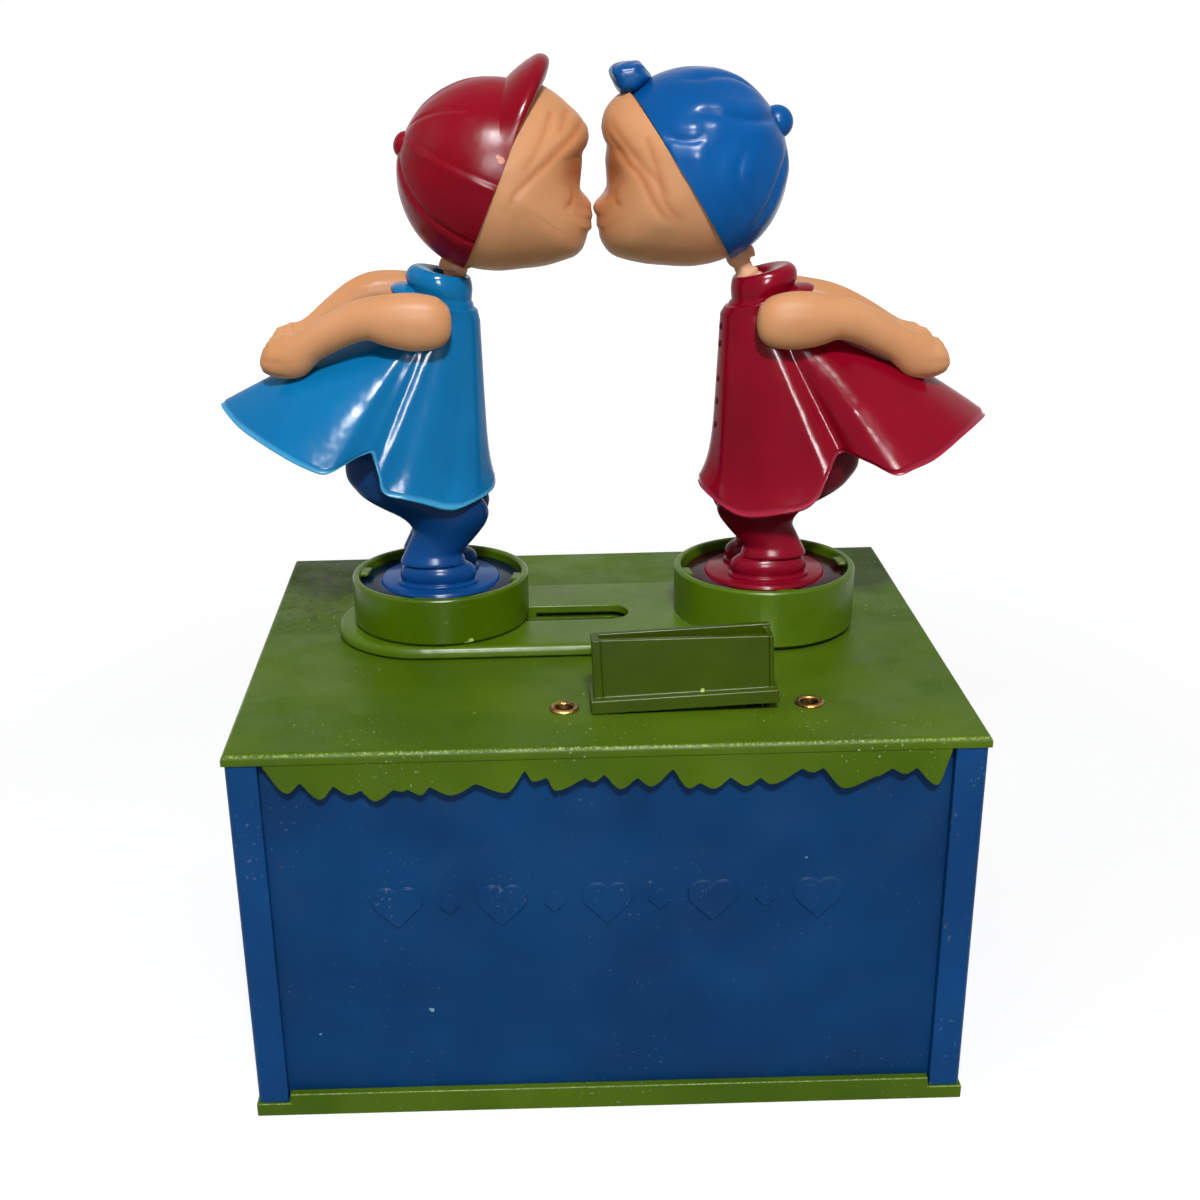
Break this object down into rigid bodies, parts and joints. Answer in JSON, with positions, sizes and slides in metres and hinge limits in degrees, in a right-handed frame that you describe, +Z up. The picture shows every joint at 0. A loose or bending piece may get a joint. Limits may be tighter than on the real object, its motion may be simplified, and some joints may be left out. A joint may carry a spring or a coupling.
{
  "type": "battery-operated coin bank with doll figures",
  "caption": "Coin bank box with a coin chute on its lid and doll figures in round cups that slide together and kiss.",
  "frame": {"origin": "centre of the base plate's underside, where the bank stands on a table", "axes": "+X to the bank's right as seen from its front, +Y to its back, +Z up"},
  "size_m": [0.1565, 0.111, 0.1944],
  "materials": {
    "green_plastic": "moulded olive-green plastic, lightly worn",
    "blue_plastic": "moulded mid-blue plastic with fine scratches",
    "light_blue_plastic": "glossy light-blue plastic",
    "navy_plastic": "glossy dark-blue plastic",
    "cap_blue_plastic": "glossy blue plastic",
    "crimson_plastic": "glossy crimson plastic",
    "dark_red_plastic": "glossy dark-red plastic",
    "flesh_plastic": "satin flesh-coloured vinyl",
    "white_plastic": "natural nylon gear plastic",
    "dark_plastic": "black moulded plastic",
    "brass": "dull brass",
    "steel": "plated steel",
    "insulator": "brown laminate",
    "cell_sleeve": "plain battery sleeve",
    "wire_sleeve": "flexible wire sleeve"
  },
  "bodies": {
    "bank": {"base_tray": "green_plastic", "left_wall": "blue_plastic", "right_wall": "blue_plastic", "front_panel": "blue_plastic", "back_panel": "blue_plastic", "lid": "green_plastic", "case_screws": "steel", "track_plate": "green_plastic", "track_screws": "steel", "eyelets": "brass", "chute_bracket": "steel", "chute_pin": "steel", "contact_block": "insulator", "contact_blades": "brass", "gear_plate": "steel", "plate_screws": "steel", "gear_arbors": "steel", "motor_can": "steel", "return_spring": "steel", "battery_holder": "dark_plastic", "battery_cell": "cell_sleeve", "battery_contacts": "steel", "hookup_wires": "wire_sleeve", "right_legs": "dark_red_plastic", "right_dress": "crimson_plastic", "right_near_arm": "flesh_plastic", "right_far_arm": "flesh_plastic", "right_neck": "flesh_plastic"},
    "carriage": {"left_cup": "green_plastic", "slider_bar": "dark_plastic", "carriage_screw": "steel", "left_legs": "navy_plastic", "left_dress": "light_blue_plastic", "left_near_arm": "flesh_plastic", "left_far_arm": "flesh_plastic", "left_neck": "flesh_plastic"},
    "left_head_body": {"left_head": "flesh_plastic", "left_cap": "crimson_plastic"},
    "right_head_body": {"right_head": "flesh_plastic", "right_cap": "cap_blue_plastic"},
    "chute": {"coin_chute": "green_plastic"},
    "rotor": {"motor_shaft": "steel", "motor_pinion": "brass"},
    "second_gear": {"compound_gear": "white_plastic"},
    "last_gear": {"output_gear": "white_plastic"},
    "bottom_door": {"battery_door": "green_plastic"},
    "back_door": {"coin_door": "blue_plastic"}
  },
  "joints": [
    {"name": "carriage_slide", "type": "slide", "parent": "bank", "child": "carriage", "axis": [1, 0, 0], "range_m": [0, 0.009], "stiffness_N_per_m": 20, "springref_m": -0.002, "deforming": ["return_spring"]},
    {"name": "left_head_tip", "type": "hinge", "parent": "carriage", "child": "left_head_body", "pos_m": [-0.0264, 0.0068, 0.1552], "axis": [0, -1, 0], "range_deg": [0, 28.4]},
    {"name": "right_head_tip", "type": "hinge", "parent": "bank", "child": "right_head_body", "pos_m": [0.0295, 0.0068, 0.1562], "axis": [0, 1, 0], "range_deg": [0, 28.4]},
    {"name": "output_gear_turn", "type": "hinge", "parent": "bank", "child": "last_gear", "pos_m": [-0.02, 0.0197, 0.07], "axis": [0, 0, 1], "range_deg": [0, 86]},
    {"name": "compound_gear_turn", "type": "hinge", "parent": "bank", "child": "second_gear", "pos_m": [-0.00581, 0.02486, 0.07], "axis": [0, 0, 1], "range_deg": [-344, 0]},
    {"name": "motor_turn", "type": "hinge", "parent": "bank", "child": "rotor", "pos_m": [0.00679, 0.02486, 0.066], "axis": [0, 0, 1], "range_deg": [0, 1375.2]},
    {"name": "chute_rock", "type": "hinge", "parent": "bank", "child": "chute", "pos_m": [0.0008, -0.037, 0.0742], "axis": [0, 1, 0], "range_deg": [0, 2.4], "stiffness_Nm_per_rad": 0.02, "springref_deg": -5.73},
    {"name": "battery_door_slide", "type": "slide", "parent": "bank", "child": "bottom_door", "axis": [0, 1, 0], "range_m": [0, 0.03]},
    {"name": "coin_door_hinge", "type": "hinge", "parent": "bank", "child": "back_door", "pos_m": [0, 0.0516, 0.0134], "axis": [-1, 0, 0], "range_deg": [0, 90]}
  ],
  "couplings": [
    {"joint": "left_head_tip", "follows": "carriage_slide", "rad_per_m": 55},
    {"joint": "right_head_tip", "follows": "carriage_slide", "rad_per_m": 55},
    {"joint": "output_gear_turn", "follows": "carriage_slide", "rad_per_m": 166.67},
    {"joint": "compound_gear_turn", "follows": "carriage_slide", "rad_per_m": -666.67},
    {"joint": "motor_turn", "follows": "carriage_slide", "rad_per_m": 2666.7}
  ]
}
